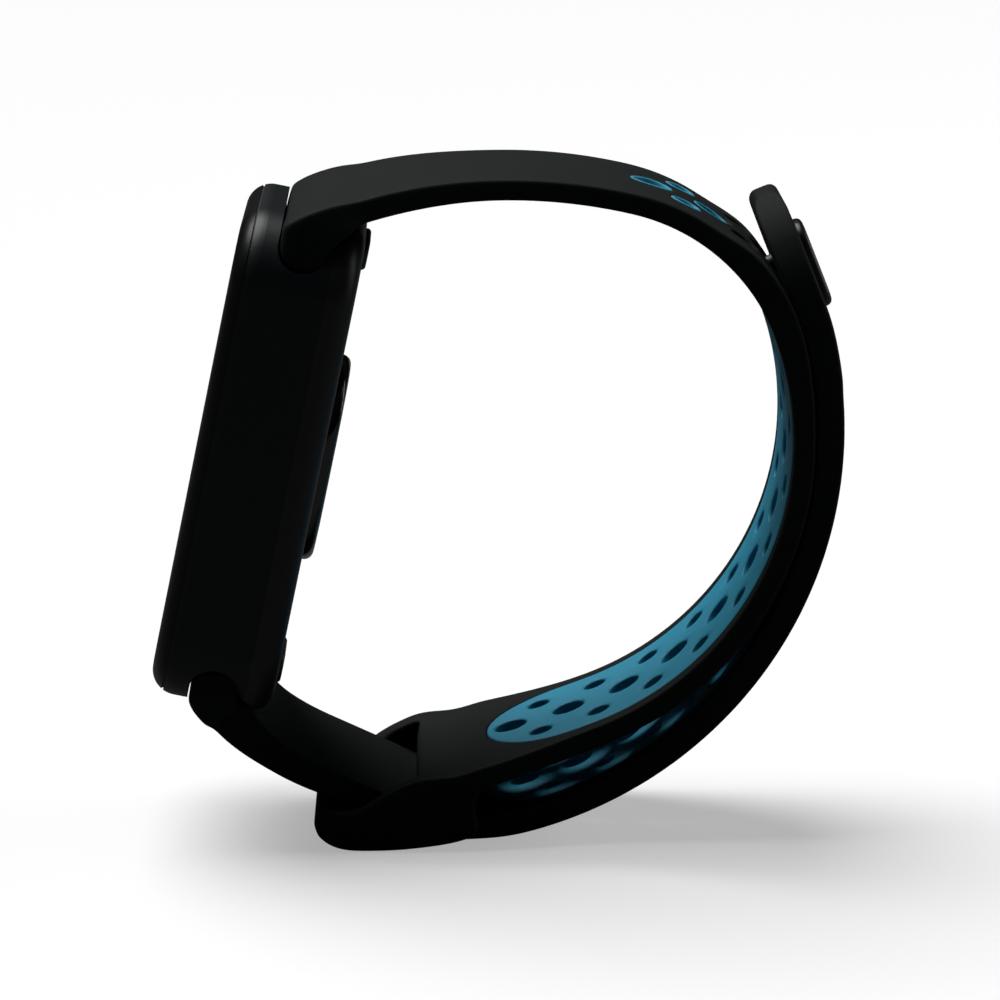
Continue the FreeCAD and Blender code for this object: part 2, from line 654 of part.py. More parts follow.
class StrapLine:
    """A smooth side-view line of arcs and straight stretches, each starting as the last one ends.

    start is a point of the layout (across, up) and heading an angle in degrees. A stretch is
    (radius alias, turn alias, side) with side +1 for a left turn, or (length alias,).
    """

    def __init__(self, start, heading, stretches):
        self.start = start
        self.heading = heading
        self.stretches = stretches

    def pieces(self):
        """Each stretch with its start point, start heading and length."""
        across, up = self.start
        angle = math.radians(self.heading)
        found = []
        for stretch in self.stretches:
            if len(stretch) == 1:
                length, turn = size(stretch[0]), 0.0
                after = (across + length * math.cos(angle), up + length * math.sin(angle))
            else:
                radius, side = size(stretch[0]), stretch[2]
                turn = side * math.radians(size(stretch[1]))
                length = radius * abs(turn)
                centre = (across - side * radius * math.sin(angle), up + side * radius * math.cos(angle))
                after = (
                    centre[0] + side * radius * math.sin(angle + turn),
                    centre[1] - side * radius * math.cos(angle + turn),
                )
            found.append((stretch, (across, up), angle, length, turn))
            across, up = after
            angle += turn
        self.end = (across, up)
        self.end_heading = math.degrees(angle)
        return found

    def part(self, first, last):
        """The line made of stretches first to last - 1."""
        found = self.pieces()
        begin = found[first]
        return StrapLine(begin[1], math.degrees(begin[2]), self.stretches[first:last])

    def at(self, distance):
        """Point and heading (radians) a distance along the line."""
        found = self.pieces()
        distance = min(distance, sum(piece[3] for piece in found))
        for stretch, (across, up), angle, length, turn in found:
            if distance <= length + 1e-9:
                break
            distance -= length
        if turn == 0.0:
            return (across + distance * math.cos(angle), up + distance * math.sin(angle)), angle
        radius = length / abs(turn)
        side = math.copysign(1.0, turn)
        angle_here = angle + side * distance / radius
        across += side * radius * (math.sin(angle_here) - math.sin(angle))
        up -= side * radius * (math.cos(angle_here) - math.cos(angle))
        return (across, up), angle_here

    def draw(self, sketch):
        """Draws the line with its radii and turns bound to the sheet."""
        ends = []
        for index, (stretch, (across, up), angle, length, turn) in enumerate(self.pieces()):
            if turn == 0.0:
                after = Vector(across + length * math.cos(angle), up + length * math.sin(angle), 0)
                sketch.addGeometry(Part.LineSegment(Vector(across, up, 0), after), False)
                ends.append((1, 2))
                number = sketch.addConstraint(Sketcher.Constraint("Distance", index, length))
                bind(sketch, f"Constraints[{number}]", stretch[0])
                continue
            radius = length / abs(turn)
            side = stretch[2]
            centre = Vector(across - side * radius * math.sin(angle), up + side * radius * math.cos(angle), 0)
            spoke = angle - side * math.pi / 2
            low, high = (spoke, spoke + turn) if side > 0 else (spoke + turn, spoke)
            circle = Part.Circle(centre, Vector(0, 0, 1), radius)
            sketch.addGeometry(Part.ArcOfCircle(circle, low, high), False)
            ends.append((1, 2) if side > 0 else (2, 1))
            number = sketch.addConstraint(Sketcher.Constraint("Radius", index, radius))
            bind(sketch, f"Constraints[{number}]", stretch[0])
            number = sketch.addConstraint(Sketcher.Constraint("Angle", index, abs(turn)))
            bind(sketch, f"Constraints[{number}]", f"{stretch[1]} * 1 deg")
        for index in range(len(ends) - 1):
            sketch.addConstraint(Sketcher.Constraint("Tangent", index, ends[index][1], index + 1, ends[index + 1][0]))
        sketch.addConstraint(Sketcher.Constraint("DistanceX", -1, 1, 0, ends[0][0], self.start[0]))
        sketch.addConstraint(Sketcher.Constraint("DistanceY", -1, 1, 0, ends[0][0], self.start[1]))
        return len(ends)


# The upper strap's line is its wrist side, from the tracker over the top to the loop at the bottom.
upper_line = StrapLine((-11.61, 26.01), 15.4, [
    ("crown_radius", "crown_bare_turn", -1),
    ("crown_radius", "crown_lined_turn", -1),
    ("shoulder_radius", "shoulder_turn", -1),
    ("side_radius", "side_turn", -1),
    ("sweep_radius", "sweep_turn", -1),
    ("base_radius", "base_lined_turn", -1),
    ("base_radius", "base_bare_turn", -1),
])

# The lower strap's line is its outside, from the tracker through the loop, round to the peel line.
lower_line = StrapLine((-24.6, -17.4), -50.0, [
    ("neck_radius", "neck_turn", 1),
    ("dive_length",),
    ("foot_radius", "foot_turn", 1),
    ("foot_length",),
    ("heel_radius", "heel_turn", 1),
    ("outer_radius", "outer_turn", 1),
    ("rise_radius", "rise_turn", 1),
])
lower_line.pieces()

# The tip carries the closure and peels away from the upper strap.
tip_line = StrapLine(lower_line.end, lower_line.end_heading, [
    ("rise_radius", "tip_turn", 1),
    ("tip_bend_radius", "tip_bend_turn", 1),
    ("tip_length",),
])


def add_band(body, name, line, near, far, width, kind="PartDesign::AdditivePipe"):
    """A flat band swept along a strap line, from near to far on the line's left side."""
    spine = new_sketch(body, f"{name}_line", "XZ_Plane")
    count = line.draw(spine)
    tilt = Rotation(Vector(1, 0, 0), -line.heading)
    offset = Placement(Vector(0, line.start[1], line.start[0]), tilt)
    section = new_sketch(body, f"{name}_section", "YZ_Plane", offset)
    half = f"( {width} ) / 2"
    draw_outline(section, [(f"0 - {half}", near), (half, near), (half, far), (f"0 - {half}", far)])
    doc.recompute()
    before = body.Shape.Volume if kind == "PartDesign::SubtractivePipe" else None
    pipe = body.newObject(kind, name)
    pipe.Profile = section
    pipe.Spine = (spine, [f"Edge{i}" for i in range(1, count + 1)])
    doc.recompute()
    if before is not None and body.Shape.Volume >= before - 1e-6:
        raise RuntimeError(f"{name} cuts nothing")


def layout_point(x, z):
    """A point of the tracker frame in the strap layout, as (across, up)."""
    angle = math.radians(size("lean"))
    across = size("tracker_across") + x * math.cos(angle) + z * math.sin(angle)
    up = size("tracker_up") - x * math.sin(angle) + z * math.cos(angle)
    return across, up


def prism(name, corners, width):
    """A block across the strap whose side view is an outline of layout points."""
    body = new_body(name)
    sketch = new_sketch(body, f"{name}_outline", "XZ_Plane")
    draw_outline(sketch, [(f"{across:.3f}", f"{up:.3f}") for across, up in corners])
    add_extrusion(body, "PartDesign::Pad", f"{name}_pad", sketch, width, both_ways=True)
    return body


def band_end(line, thickness):
    """The band's two faces just inside its start, on the line and on its left."""
    (across, up), angle = line.at(size("root_overlap"))
    left = (across - size(thickness) * math.sin(angle), up + size(thickness) * math.cos(angle))
    return (across, up), left


def strap_root(word, end, brow, band_outer, band_inner):
    """The strap's thick root: a round-floored foot in the tracker's slot that narrows to the band.

    brow is the outside from the slot's front wall to the band, as layout points.
    """
    gap = size("slot_clearance")
    front = size("slot_offset") - size("slot_radius") + gap
    back = size("slot_offset") + size("slot_radius") - gap
    foot = prism(f"{word}_root", [
        layout_point(front, end * slot_height),
        *brow,
        band_outer,
        band_inner,
        layout_point(back, end * slot_height),
    ], "root_width")
    across, up = layout_point(size("slot_offset"), end * slot_height)
    barrel = rod(f"{word}_barrel", "slot_radius - slot_clearance", "root_width",
                 Vector(across, -size("root_width") / 2, up), Y_AXIS)
    bore = rod(f"{word}_bore", "core_radius + fit_gap", "core_length + 2 * fit_gap",
               Vector(across, -size("core_length") / 2 - size("fit_gap"), up), Y_AXIS)
    bar = rod(f"{word}_bar", "core_radius", "core_length", Vector(across, -size("core_length") / 2, up), Y_AXIS)
    bar.Placement = row_shift.multiply(bar.Placement)
    keep(bar, f"{word}_strap_core_bar")
    return foot, barrel, bore


def drawn_in(name, pieces, plane, corners):
    """Pieces at root width trimmed to an outline that narrows to the band's own width."""
    outline = new_body(f"{name}_taper")
    sketch = new_sketch(outline, f"{name}_taper_outline", plane)
    draw_outline(sketch, corners)
    add_extrusion(outline, "PartDesign::Pad", f"{name}_taper_pad", sketch, "case_length * 2", both_ways=True)
    trimmed = doc.addObject("Part::MultiCommon", f"{name}_trimmed")
    trimmed.Shapes = [fuse(f"{name}_wide", pieces), outline]
    return trimmed


def hole_rods(name, line, distances, small_distances):
    """Round holes square to the strap: a middle row and two smaller rows beside it."""
    reach = "4 * upper_thickness"
    depth = 2 * size("upper_thickness")
    rods = []
    rows = [(0.0, "hole_radius", distances)]
    rows += [(side * size("row_spacing"), "small_hole_radius", small_distances) for side in (-1, 1)]
    for offset, radius, places in rows:
        for distance in places:
            (across, up), angle = line.at(distance)
            left = Vector(-math.sin(angle), 0, math.cos(angle))
            base = Vector(across, offset, up) - left * depth
            rods.append(rod(f"{name}_{len(rods) + 1}", radius, reach, base, left))
    return fuse(f"{name}_holes", rods)


def loop_pieces():
    """The loop at the end of the upper strap: side rails, and a crossbar under the lower strap."""
    bottom = -size("layout_up")
    rails = prism("loop_rails", [
        (-3.0, -21.6), (-7.2, -22.3), (-8.5, -22.75), (-10.3, -23.6), (-12.0, -25.0), (-13.8, -25.2),
        (-15.4, -24.6), (-16.05, -25.2), (-15.8, -26.9), (-15.0, -28.0), (-13.8, bottom),
        (-5.2, bottom), (-3.6, -27.4), (-2.4, -24.0),
    ], "loop_width")
    window = prism("loop_corridor", [(-17, -20), (0, -20), (0, -30), (-17, -30)], "loop_window")
    crossbar = prism("loop_crossbar", [
        (-15.85, -24.5), (-9.6, -27.3), (-9.0, -27.8), (-8.8, bottom), (-13.8, bottom),
        (-15.0, -28.0), (-15.8, -26.9), (-16.05, -25.2),
    ], "loop_width")
    return [cut("loop_rails_cut", rails, window), crossbar]


def centre_row(count, first):
    return [first + size("hole_pitch") * i for i in range(count)]


def staggered_row(count, first):
    return [first + size("hole_pitch") * (i + 0.5) for i in range(count - 1)]


UPPER_HOLES = 13


def make_upper_strap():
    lined = upper_line.part(1, 6)
    band = new_body("upper_band")
    add_band(band, "upper_strip", upper_line, "0", "upper_thickness", "upper_width")
    add_band(band, "upper_recess", lined, "0", "liner_depth", "upper_width - 2 * liner_margin",
             "PartDesign::SubtractivePipe")
    wrist_side, outside = band_end(upper_line, "upper_thickness")
    brow = [(-18.3, 25.5), (-17.4, 26.1), (-15.65, 26.9), (-13.9, 27.4)]
    foot, barrel, bore = strap_root("upper", 1, brow, outside, wrist_side)
    flare = new_body("upper_flare")
    add_band(flare, "upper_flare_strip", upper_line.part(0, 1), "0", "upper_thickness", "root_width")
    root = drawn_in("upper_root", [foot, flare], "XY_Plane", [
        ("-30", "0 - root_width / 2"), ("-16", "0 - root_width / 2"), ("0", "0 - upper_width / 2"),
        ("30", "0 - upper_width / 2"), ("30", "upper_width / 2"), ("0", "upper_width / 2"),
        ("-16", "root_width / 2"), ("-30", "root_width / 2"),
    ])
    centres = centre_row(UPPER_HOLES, size("first_hole"))
    between = staggered_row(UPPER_HOLES, size("first_hole"))
    holes = hole_rods("upper_hole", upper_line, centres, between)
    whole = fuse("upper_strap_whole", [band, barrel, root, *loop_pieces()])
    strap = cut("upper_strap_cut", whole, fuse("upper_strap_tools", [bore, holes]))
    keep(strap, "upper_strap", row_shift)
    strip = new_body("upper_liner_band")
    add_band(strip, "upper_liner_strip", lined, "0", "liner_depth - 0.02",
             "upper_width - 2 * liner_margin - 2 * fit_gap")
    liner_holes = hole_rods("upper_liner_hole", upper_line, centres, between)
    keep(cut("upper_liner_cut", strip, liner_holes), "upper_strap_liner", row_shift)


LOWER_HOLES = 9


def make_lower_strap():
    lined = lower_line.part(4, 6)
    skin = "lower_thickness - liner_depth"
    band = new_body("lower_band")
    add_band(band, "lower_strip", lower_line, "0", "lower_thickness", "lower_width")
    add_band(band, "lower_recess", lined, skin, "lower_thickness", "lower_width - 2 * liner_margin",
             "PartDesign::SubtractivePipe")
    outside, wrist_side = band_end(lower_line, "lower_thickness")
    brow = [(-26.55, -14.25), (-25.75, -16.0)]
    foot, barrel, bore = strap_root("lower", -1, brow, outside, wrist_side)
    flare = new_body("lower_flare")
    add_band(flare, "lower_flare_strip", lower_line.part(0, 1), "0", "lower_thickness", "root_width")
    root = drawn_in("lower_root", [foot, flare], "YZ_Plane", [
        ("0 - root_width / 2", "0"), ("0 - root_width / 2", "-15"), ("0 - lower_width / 2", "-19"),
        ("0 - lower_width / 2", "-30"), ("lower_width / 2", "-30"), ("lower_width / 2", "-19"),
        ("root_width / 2", "-15"), ("root_width / 2", "0"),
    ])
    first = sum(piece[3] for piece in lower_line.pieces()[:4]) + size("first_lower_hole")
    centres = centre_row(LOWER_HOLES, first)
    between = staggered_row(LOWER_HOLES, first)
    holes = hole_rods("lower_hole", lower_line, centres, between)
    whole = fuse("lower_strap_whole", [band, barrel, root])
    strap = cut("lower_strap_cut", whole, fuse("lower_strap_tools", [bore, holes]))
    keep(strap, "lower_strap", row_shift)
    strip = new_body("lower_liner_band")
    add_band(strip, "lower_liner_strip", lined, f"{skin} + 0.02", "lower_thickness",
             "lower_width - 2 * liner_margin - 2 * fit_gap")
    liner_holes = hole_rods("lower_liner_hole", lower_line, centres, between)
    keep(cut("lower_liner_cut", strip, liner_holes), "lower_strap_liner", row_shift)


def closure_axis():
    """Where the closure peg meets the outside of the tip, and the direction in towards the wrist."""
    length = sum(piece[3] for piece in tip_line.pieces())
    (across, up), angle = tip_line.at(length - size("closure_from_end"))
    return Vector(across, 0, up), Vector(-math.sin(angle), 0, math.cos(angle)), angle


def make_strap_tip():
    tip = new_body("tip_band")
    add_band(tip, "tip_strip", tip_line, "0", "lower_thickness", "lower_width")
    (across, up), _ = tip_line.at(math.inf)
    end_point = Vector(across, 0, up)

    def end_corner(edge):
        middle = (edge.Vertexes[0].Point + edge.Vertexes[-1].Point) / 2
        short = edge.Length < size("lower_thickness") * 1.01
        return short and (middle - end_point).Length < size("lower_width") * 0.6

    round_edges(tip, "tip_corners", "lower_width * 0.42", end_corner)
    outside, inward, angle = closure_axis()
    bore = rod("tip_bore", "peg_radius + 0.35", "3 * lower_thickness", outside - inward * 2, inward)
    keep(cut("tip_cut", tip, bore), "strap_tip", row_shift)


def make_closure():
    """A plate on the outside of the tip, with a neck through it and a peg for a hole of the strap."""
    outside, inward, angle = closure_axis()
    along = Vector(math.cos(angle), 0, math.sin(angle))
    plate = doc.addObject("Part::Box", "closure_plate")
    bind(plate, "Length", "plate_length")
    bind(plate, "Width", "plate_width")
    bind(plate, "Height", "plate_thickness")
    corner = outside - along * (size("plate_length") / 2 + size("plate_drop"))
    corner -= Y_AXIS * (size("plate_width") / 2)
    corner -= inward * size("plate_thickness")
    plate.Placement = Placement(corner, Rotation(along, Y_AXIS, inward, "XYZ"))
    neck = rod("closure_neck", "peg_radius + 0.3", "lower_thickness", outside, inward)
    peg = rod("closure_peg", "peg_radius", "peg_length",
              outside + inward * size("lower_thickness"), inward, "peg_end_radius")
    keep(fuse("closure", [plate, neck, peg]), "closure_stud", row_shift)


# ---------------------------------------------------------------- build, check and write

def build_all():
    make_front_glass()
    make_glass_tape()
    slots = make_case_frame()
    make_back_cover(slots)
    make_cover_seal()
    make_sensor_window()
    make_display()
    make_main_board()
    make_board_screws()
    make_battery()
    make_vibration_motor()
    make_sensor_stack()
    make_charging_contacts()
    make_release(1, "upper")
    make_release(-1, "lower")
    make_upper_strap()
    make_lower_strap()
    make_strap_tip()
    make_closure()
    doc.recompute()


def check_all():
    for thing in doc.Objects:
        if "Invalid" in thing.State or "Error" in thing.State:
            raise RuntimeError(f"{thing.Name} did not build: {thing.State}")
    for part in parts:
        if part.Shape.isNull() or not part.Shape.isValid() or not part.Shape.Solids:
            raise RuntimeError(f"{part.Label} has no valid solid")


def write_all():
    os.makedirs("parts", exist_ok=True)
    for part in parts:
        part.Shape.exportStep(f"parts/{part.Label}.step")


build_all()
check_all()
write_all()
print(f"{len(parts)} parts written")
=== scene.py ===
"""Looks of a fitness tracker band: a slim tracker on a two-piece silicone strap.

Strap geometry is worked out in millimetres in the plane of the loop and stored in metres in the row frame.
"""
import json
import math

import bmesh
import bpy
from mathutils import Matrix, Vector, geometry


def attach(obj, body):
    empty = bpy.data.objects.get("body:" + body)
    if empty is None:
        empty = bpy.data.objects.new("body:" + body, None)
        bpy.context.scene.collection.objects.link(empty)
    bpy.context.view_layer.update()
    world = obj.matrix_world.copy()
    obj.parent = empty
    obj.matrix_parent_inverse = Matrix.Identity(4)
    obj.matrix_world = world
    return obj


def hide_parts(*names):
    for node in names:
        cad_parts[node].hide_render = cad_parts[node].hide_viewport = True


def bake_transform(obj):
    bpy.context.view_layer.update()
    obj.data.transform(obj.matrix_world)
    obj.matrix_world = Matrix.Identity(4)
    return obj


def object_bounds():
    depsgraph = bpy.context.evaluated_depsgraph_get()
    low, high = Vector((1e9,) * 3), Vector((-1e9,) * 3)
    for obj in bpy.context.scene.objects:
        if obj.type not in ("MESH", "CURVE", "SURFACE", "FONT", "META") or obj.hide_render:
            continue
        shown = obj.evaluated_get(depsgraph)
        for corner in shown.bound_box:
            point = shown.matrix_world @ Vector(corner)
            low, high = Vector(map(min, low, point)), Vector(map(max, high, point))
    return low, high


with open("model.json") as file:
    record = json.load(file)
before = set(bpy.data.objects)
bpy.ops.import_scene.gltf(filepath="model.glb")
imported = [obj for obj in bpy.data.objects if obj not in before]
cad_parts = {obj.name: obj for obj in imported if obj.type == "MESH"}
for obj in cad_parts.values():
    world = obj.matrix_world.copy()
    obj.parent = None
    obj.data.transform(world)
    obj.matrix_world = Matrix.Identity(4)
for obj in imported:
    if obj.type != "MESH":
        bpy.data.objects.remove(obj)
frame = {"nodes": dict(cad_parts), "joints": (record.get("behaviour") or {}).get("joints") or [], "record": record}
cad_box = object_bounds()

MM = 0.001
SUBDIVISIONS = 2


# ---------------------------------------------------------------- driving dimensions, in mm

UPPER_WIDTH, UPPER_THICKNESS = 18.0, 1.9
LOWER_WIDTH, LOWER_THICKNESS = 16.8, 2.4
ROOT_WIDTH = 23.6
LOOP_WIDTH, LOOP_WINDOW = 21.4, 17.2
LINER_DEPTH, LINER_MARGIN, LINER_PROUD = 0.9, 1.7, 0.04
HOLE_PITCH, HOLE_RADIUS, SMALL_HOLE_RADIUS, ROW_SPACING = 5.32, 1.45, 1.0, 4.15
SLEEVE_WALL = 0.32
CASE_HALF_LENGTH, CASE_HALF_DEPTH = 21.5, 5.3
SLOT_FRONT, SLOT_BACK, SLOT_DEPTH = -1.8, 2.2, 4.0

# Each strap line: a start, a heading in degrees, and stretches of (radius, turn in degrees) or (length,).
UPPER_LINE = ((-11.61, 26.01), 15.4, [
    (45.65, -19.0), (45.65, -9.65), (17.1, -58.1), (71.5, -0.6), (26.2, -86.75), (84.2, -6.65), (84.2, -4.35),
])
LOWER_LINE = ((-24.6, -17.4), -50.0, [
    (24.0, 25.0), (9.4,), (8.0, 27.8), (2.7,), (17.8, 12.2), (36.2, 72.5), (37.5, 7.35),
])
TIP_LINE = [(37.5, 8.1), (20.6, 8.9), (9.8,)]
PLATE_LENGTH, PLATE_WIDTH, PLATE_CORNER, PLATE_PROUD, PLATE_FROM_END = 7.8, 5.2, 1.9, 0.8, 7.6
PEG_RADIUS, PEG_END_RADIUS, PEG_LENGTH, PEG_FROM_END = 0.9, 0.6, 2.6, 6.5


# ---------------------------------------------------------------- lines and places

class StrapLine:
    """A smooth side-view line of arcs and straight stretches, read by the distance along it."""

    def __init__(self, start, heading, stretches):
        self.pieces = []
        across, up = start
        angle = math.radians(heading)
        for stretch in stretches:
            turn = math.radians(stretch[1]) if len(stretch) == 2 else 0.0
            length = stretch[0] * abs(turn) if turn else stretch[0]
            self.pieces.append((across, up, angle, length, turn))
            across, up, angle = self.along(self.pieces[-1], length)
        self.starts = [sum(piece[3] for piece in self.pieces[:i]) for i in range(len(self.pieces) + 1)]
        self.length = self.starts[-1]

    @staticmethod
    def along(piece, distance):
        """Point and heading a distance into one stretch."""
        across, up, angle, length, turn = piece
        if not turn:
            return across + distance * math.cos(angle), up + distance * math.sin(angle), angle
        bend = turn / length
        here = angle + bend * distance
        across += (math.sin(here) - math.sin(angle)) / bend
        up -= (math.cos(here) - math.cos(angle)) / bend
        return across, up, here

    def at(self, distance):
        """Point and heading a distance along the whole line."""
        for start, piece in zip(self.starts, self.pieces):
            if distance <= start + piece[3] or piece is self.pieces[-1]:
                return self.along(piece, distance - start)

    def point(self, distance, left=0.0):
        """A point a distance along the line and off to its left, as (across, up)."""
        across, up, angle = self.at(distance)
        return across - left * math.sin(angle), up + left * math.cos(angle)


upper_line = StrapLine(*UPPER_LINE)
lower_line = StrapLine(LOWER_LINE[0], LOWER_LINE[1], LOWER_LINE[2] + TIP_LINE)
hinge_distance = lower_line.starts[len(LOWER_LINE[2])]

joints = {joint["name"]: joint for joint in frame["joints"]}
mounts = {mount["name"]: mount for mount in frame["record"]["mounts"]}
hinge = Vector(joints["tip_peel"]["pos_m"]) / MM
hinge_in_plan = lower_line.point(hinge_distance)
shift = Vector((hinge.x - hinge_in_plan[0], hinge.z - hinge_in_plan[1]))

to_front = Vector(mounts["screen_face"]["axis"])
tracker_centre = Vector(mounts["screen_face"]["pos_m"]) / MM - to_front * CASE_HALF_DEPTH
to_back = -to_front
to_top = Vector((-to_back.z, 0, to_back.x))


def row_point(across, up, y=0.0):
    """A layout point in the row frame, in metres."""
    return Vector((across + shift.x, y, up + shift.y)) * MM


def tracker_point(x, y, z):
    """A point of the tracker (x to the back, z to the top) in the row frame, in metres."""
    return (tracker_centre + to_back * x + to_top * z + Vector((0, y, 0))) * MM


def layout_of_tracker(x, z):
    """A point of the tracker's middle plane in the layout."""
    place = tracker_point(x, 0, z) / MM
    return place.x - shift.x, place.z - shift.y


def blend_between(a, b, share):
    return a + (b - a) * share


def ramp(place, start, length):
    """Goes smoothly from 0 at start to 1 a length further on."""
    share = min(1.0, max(0.0, (place - start) / length))
    return share * share * (3 - 2 * share)


# ---------------------------------------------------------------- meshes

def make_piece(name, vertices, faces, material, body=None, stands_for=()):
    """A smooth-shaded closed mesh that rides on a body and stands for CAD nodes."""
    mesh = bpy.data.meshes.new(name)
    mesh.from_pydata(vertices, [], faces)
    tidy = bmesh.new()
    tidy.from_mesh(mesh)
    bmesh.ops.remove_doubles(tidy, verts=tidy.verts, dist=1e-7)
    bmesh.ops.recalc_face_normals(tidy, faces=tidy.faces)
    tidy.to_mesh(mesh)
    tidy.free()
    mesh.polygons.foreach_set("use_smooth", [True] * len(mesh.polygons))
    piece = bpy.data.objects.new(name, mesh)
    bpy.context.scene.collection.objects.link(piece)
    if material:
        mesh.materials.append(material)
    if body:
        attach(piece, body)
    if stands_for:
        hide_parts(*stands_for)
    return piece


def apply_modifiers(piece):
    """Replaces the piece's mesh by what its modifiers make of it."""
    bpy.context.view_layer.update()
    shaped = piece.evaluated_get(bpy.context.evaluated_depsgraph_get())
    mesh = bpy.data.meshes.new_from_object(shaped)
    piece.modifiers.clear()
    piece.data = mesh
    mesh.polygons.foreach_set("use_smooth", [True] * len(mesh.polygons))


def subdivide(piece, levels=SUBDIVISIONS):
    modifier = piece.modifiers.new("round", "SUBSURF")
    modifier.levels = modifier.render_levels = levels
    apply_modifiers(piece)


def cut_out(piece, tool):
    """Subtracts a closed tool mesh from the piece and throws the tool away."""
    modifier = piece.modifiers.new("cut", "BOOLEAN")
    modifier.operation = "DIFFERENCE"
    modifier.solver = "EXACT"
    modifier.object = tool
    apply_modifiers(piece)
    bpy.data.objects.remove(tool)


def plate(stations, holes_in_grid):
    """A closed cage of two faces and their walls.

    stations[i][j] is (outer point, inner point, wall inset outer, wall inset inner); a cell (i, j) that is
    in holes_in_grid is left open, and every open border gets a wall.
    """
    rows, columns = len(stations), len(stations[0])
    vertices, faces, index = [], [], {}

    def vertex(i, j, layer):
        key = (i, j, layer)
        if key not in index:
            outer, inner, outer_inset, inner_inset = stations[i][j]
            thickness = (outer - inner).length
            from_outer = min(0.4, outer_inset / thickness)
            from_inner = min(0.4, inner_inset / thickness)
            index[key] = len(vertices)
            vertices.append(outer.lerp(inner, (0.0, from_outer, 1 - from_inner, 1.0)[layer]))
        return index[key]

    def solid(i, j):
        return 0 <= i < rows - 1 and 0 <= j < columns - 1 and (i, j) not in holes_in_grid

    for i in range(rows - 1):
        for j in range(columns - 1):
            if not solid(i, j):
                continue
            corners = [(i, j), (i + 1, j), (i + 1, j + 1), (i, j + 1)]
            faces.append([vertex(a, b, 0) for a, b in corners])
            faces.append([vertex(a, b, 3) for a, b in reversed(corners)])
            beyond = [(i, j - 1), (i + 1, j), (i, j + 1), (i - 1, j)]
            for side, (a, b) in enumerate(beyond):
                if solid(a, b):
                    continue
                first, second = corners[side], corners[(side + 1) % 4]
                for layer in range(3):
                    faces.append([vertex(*first, layer), vertex(*first, layer + 1),
                                  vertex(*second, layer + 1), vertex(*second, layer)])
    return vertices, faces


class FlatSheet:
    """A sheet drawn flat as (along, sideways, off) and bent along a strap line when it is placed."""

    def __init__(self):
        self.vertices = []
        self.faces = []

    def ring(self, points, off):
        """Adds a closed ring of points at one height and returns their numbers."""
        first = len(self.vertices)
        self.vertices += [(s, t, off) for s, t in points]
        return list(range(first, len(self.vertices)))

    def bridge(self, rings):
        """Quads between neighbouring rings of equal count."""
        for one, other in zip(rings, rings[1:]):
            for k in range(len(one)):
                n = (k + 1) % len(one)
                self.faces.append([one[k], one[n], other[n], other[k]])

    def skin(self, border, openings, grid, off):
        """Triangles inside a border ring and outside the opening rings, with grid points between."""
        known = list(border)
        edges = [(k, (k + 1) % len(border)) for k in range(len(border))]
        for opening in openings:
            first = len(known)
            known += opening
            count = len(opening)
            edges += [(first + k, first + (k + 1) % count) for k in range(count)]
        flat = [Vector(self.vertices[i][:2]) for i in known] + [Vector(p) for p in grid]
        first_new = len(self.vertices)
        self.vertices += [(s, t, off) for s, t in grid]
        known += range(first_new, len(self.vertices))
        result = geometry.delaunay_2d_cdt(flat, edges, [], 1, 1e-6)
        names = [known[origins[0]] for origins in result[3]]
        holes = [self.middle_and_radius(opening) for opening in openings]
        for triangle in result[2]:
            centre = sum((result[0][k] for k in triangle), Vector((0, 0))) / 3
            if all((centre - middle).length > radius for middle, radius in holes):
                self.faces.append([names[k] for k in triangle])

    def middle_and_radius(self, opening):
        """The middle of an opening ring, and a radius that lies just inside it."""
        points = [Vector(self.vertices[i][:2]) for i in opening]
        middle = sum(points, Vector((0, 0))) / len(points)
        return middle, (points[0] - middle).length * 0.98

    def placed(self, line):
        """Row-frame vertices, with off measured to the line's left."""
        return [row_point(*line.point(s, off), t) for s, t, off in self.vertices]


GRID_STEP, BORDER_CLEARANCE, HOLE_CLEARANCE = 0.8, 0.6, 0.3


def circle(s, t, radius, count):
    """Points of a circle around (s, t)."""
    return [(s + radius * math.cos(math.tau * k / count), t + radius * math.sin(math.tau * k / count))
            for k in range(count)]


def rounded_strip(first, last, half, corner, inset, steps=10):
    """The outline of a strip with rounded ends, pulled in by inset."""
    radius = corner - inset
    centres = [(last - corner, half - corner, 0), (first + corner, half - corner, 90),
               (first + corner, corner - half, 180), (last - corner, corner - half, 270)]
    points = []
    for index, (s, t, start) in enumerate(centres):
        for k in range(steps + 1):
            angle = math.radians(start + 90 * k / steps)
            points.append((s + radius * math.cos(angle), t + radius * math.sin(angle)))
        s_next, t_next, _ = centres[(index + 1) % 4]
        length = math.hypot(s_next - s, t_next - t)
        between = max(1, round(length / GRID_STEP))
        end = points[-1]
        points += [(end[0] + (s_next - s) * k / between, end[1] + (t_next - t) * k / between)
                   for k in range(1, between)]
    return points


def hole_places(first, count):
    """(along, sideways, radius) of a middle row of holes and two staggered rows of smaller ones."""
    places = [(first + HOLE_PITCH * i, 0.0, HOLE_RADIUS) for i in range(count)]
    for side in (-1, 1):
        places += [(first + HOLE_PITCH * (i + 0.5), side * ROW_SPACING, SMALL_HOLE_RADIUS)
                   for i in range(count - 1)]
    return places


# The liner's rounded edge as (inset, drop) from its side wall to its wrist face.
RIM_RADIUS = 0.18
RIM = [(RIM_RADIUS * (1 - math.cos(a)), RIM_RADIUS * (1 - math.sin(a))) for a in (0.0, 0.45, 0.9, 1.57)]
CIRCLE_STEPS = 28
MOUTH_INSET, MOUTH_ROUND = 0.03, 0.05
SEAT_GAP, SEAT_OVERLAP, CUT_MARGIN = 0.1, 0.02, 1.0
CORNER_SHORT = 0.01      # keeps the straight sides of a strip's round ends from shrinking to nothing


